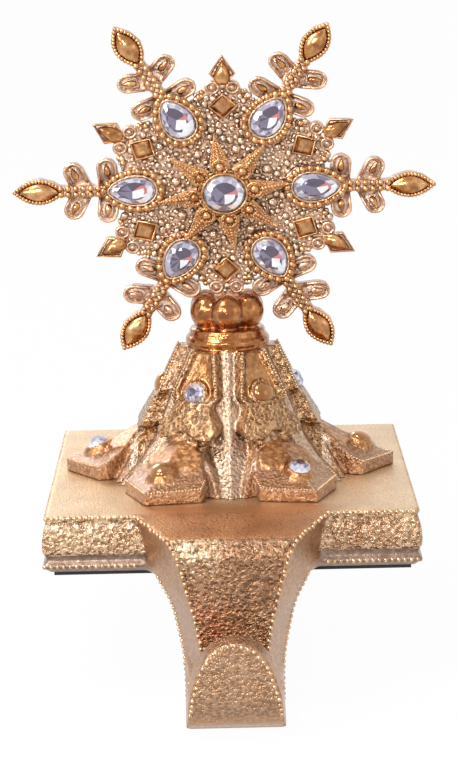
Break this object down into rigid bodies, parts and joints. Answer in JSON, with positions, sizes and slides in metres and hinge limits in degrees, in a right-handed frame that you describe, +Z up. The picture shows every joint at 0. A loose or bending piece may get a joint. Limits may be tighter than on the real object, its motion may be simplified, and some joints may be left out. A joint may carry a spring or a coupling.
{
  "type": "mantel stocking holder",
  "caption": "Decorative holder that stands on a mantel: moulded plinth with a front hook for a loop, ribbed pedestal and an upright jewelled snowflake.",
  "frame": {"origin": "on the surface that the holder stands on, the underside of the pad, under the middle of the plinth", "axes": "+Z up; -Y to the front, where the hook hangs down and the snowflake faces; +X to the viewer's right"},
  "size_m": [0.1506, 0.1746, 0.224],
  "materials": {
    "pad": "matt black foam or rubber sheet",
    "plinth_metal": "rose-gold plate over a hammered casting, satin in the recesses",
    "pedestal_metal": "rose-gold plate over a hammered casting, polished knop and collar",
    "snowflake_metal": "rose-gold plate, beaded, paler in the recesses",
    "star_metal": "rose-gold plate, beaded",
    "crystal": "clear faceted stone with a silver back",
    "pearl": "smooth domed stone, pale rose"
  },
  "bodies": {
    "root": {"underside_pad": "pad", "plinth_and_hook": "plinth_metal", "pedestal": "pedestal_metal", "snowflake": "snowflake_metal", "star_boss": "star_metal", "centre_crystal": "crystal", "arm_crystal_1": "crystal", "arm_crystal_2": "crystal", "arm_crystal_3": "crystal", "arm_crystal_4": "crystal", "arm_crystal_5": "crystal", "arm_crystal_6": "crystal", "rib_crystal_1": "crystal", "foot_crystal_1": "crystal", "rib_pearl_1": "pearl", "foot_pearl_1": "pearl", "rib_crystal_2": "crystal", "foot_crystal_2": "crystal", "rib_pearl_2": "pearl", "foot_pearl_2": "pearl", "rib_crystal_3": "crystal", "foot_crystal_3": "crystal", "rib_pearl_3": "pearl", "foot_pearl_3": "pearl"}
  },
  "joints": []
}
